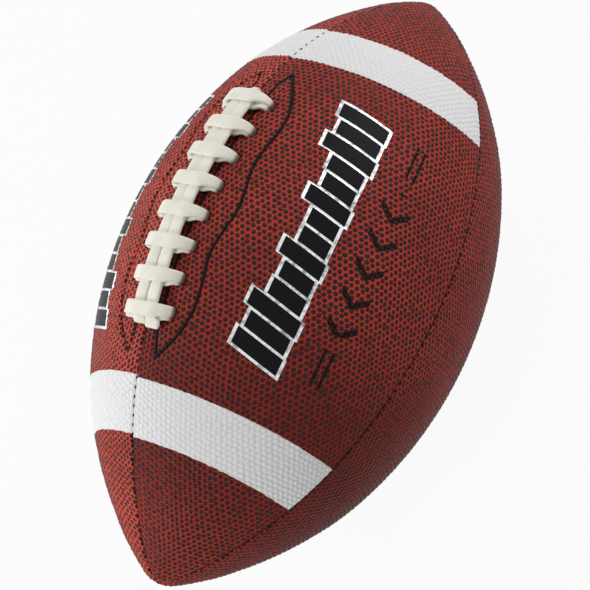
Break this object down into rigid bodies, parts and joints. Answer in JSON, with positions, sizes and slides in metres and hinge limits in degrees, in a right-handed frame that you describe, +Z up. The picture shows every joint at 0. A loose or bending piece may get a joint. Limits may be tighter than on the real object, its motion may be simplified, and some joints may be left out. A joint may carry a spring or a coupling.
{
  "type": "american football",
  "caption": "Laced oval football with a sewn pebbled cover, a lining, an air bladder and a plug valve.",
  "frame": {"origin": "centre of the ball, on its long axis", "axes": "+X along the long axis towards the tip at the upper right of the picture, +Z up through the middle of the laces, -Y towards the seam at the lower right of the picture"},
  "size_m": [0.2748, 0.153, 0.1583],
  "materials": {
    "cover": "pebbled composite leather",
    "lining": "laminated cloth",
    "facing": "woven tape",
    "pad": "thin rubber sheet",
    "lace": "smooth soft PVC",
    "stripe": "film over the grain of the cover",
    "thread": "waxed thread",
    "bladder": "moulded rubber",
    "valve": "moulded rubber"
  },
  "bodies": {
    "root": {"panel_lace_right": "cover", "panel_lace_left": "cover", "panel_back_right": "cover", "panel_back_left": "cover", "lining_lace_right": "lining", "lining_lace_left": "lining", "lining_back_right": "lining", "lining_back_left": "lining", "facing_right": "facing", "facing_left": "facing", "lace_pad": "pad", "lace_crossbars": "lace", "lace_spine": "lace", "stripe_front_right": "stripe", "stripe_front_left": "stripe", "stripe_rear_right": "stripe", "stripe_rear_left": "stripe", "facing_stitch_right": "thread", "facing_stitch_left": "thread", "seam_thread_top": "thread", "seam_thread_right": "thread", "seam_thread_bottom": "thread", "seam_thread_left": "thread", "bladder": "bladder", "valve_seat": "valve", "valve_plug": "valve"}
  },
  "joints": []
}
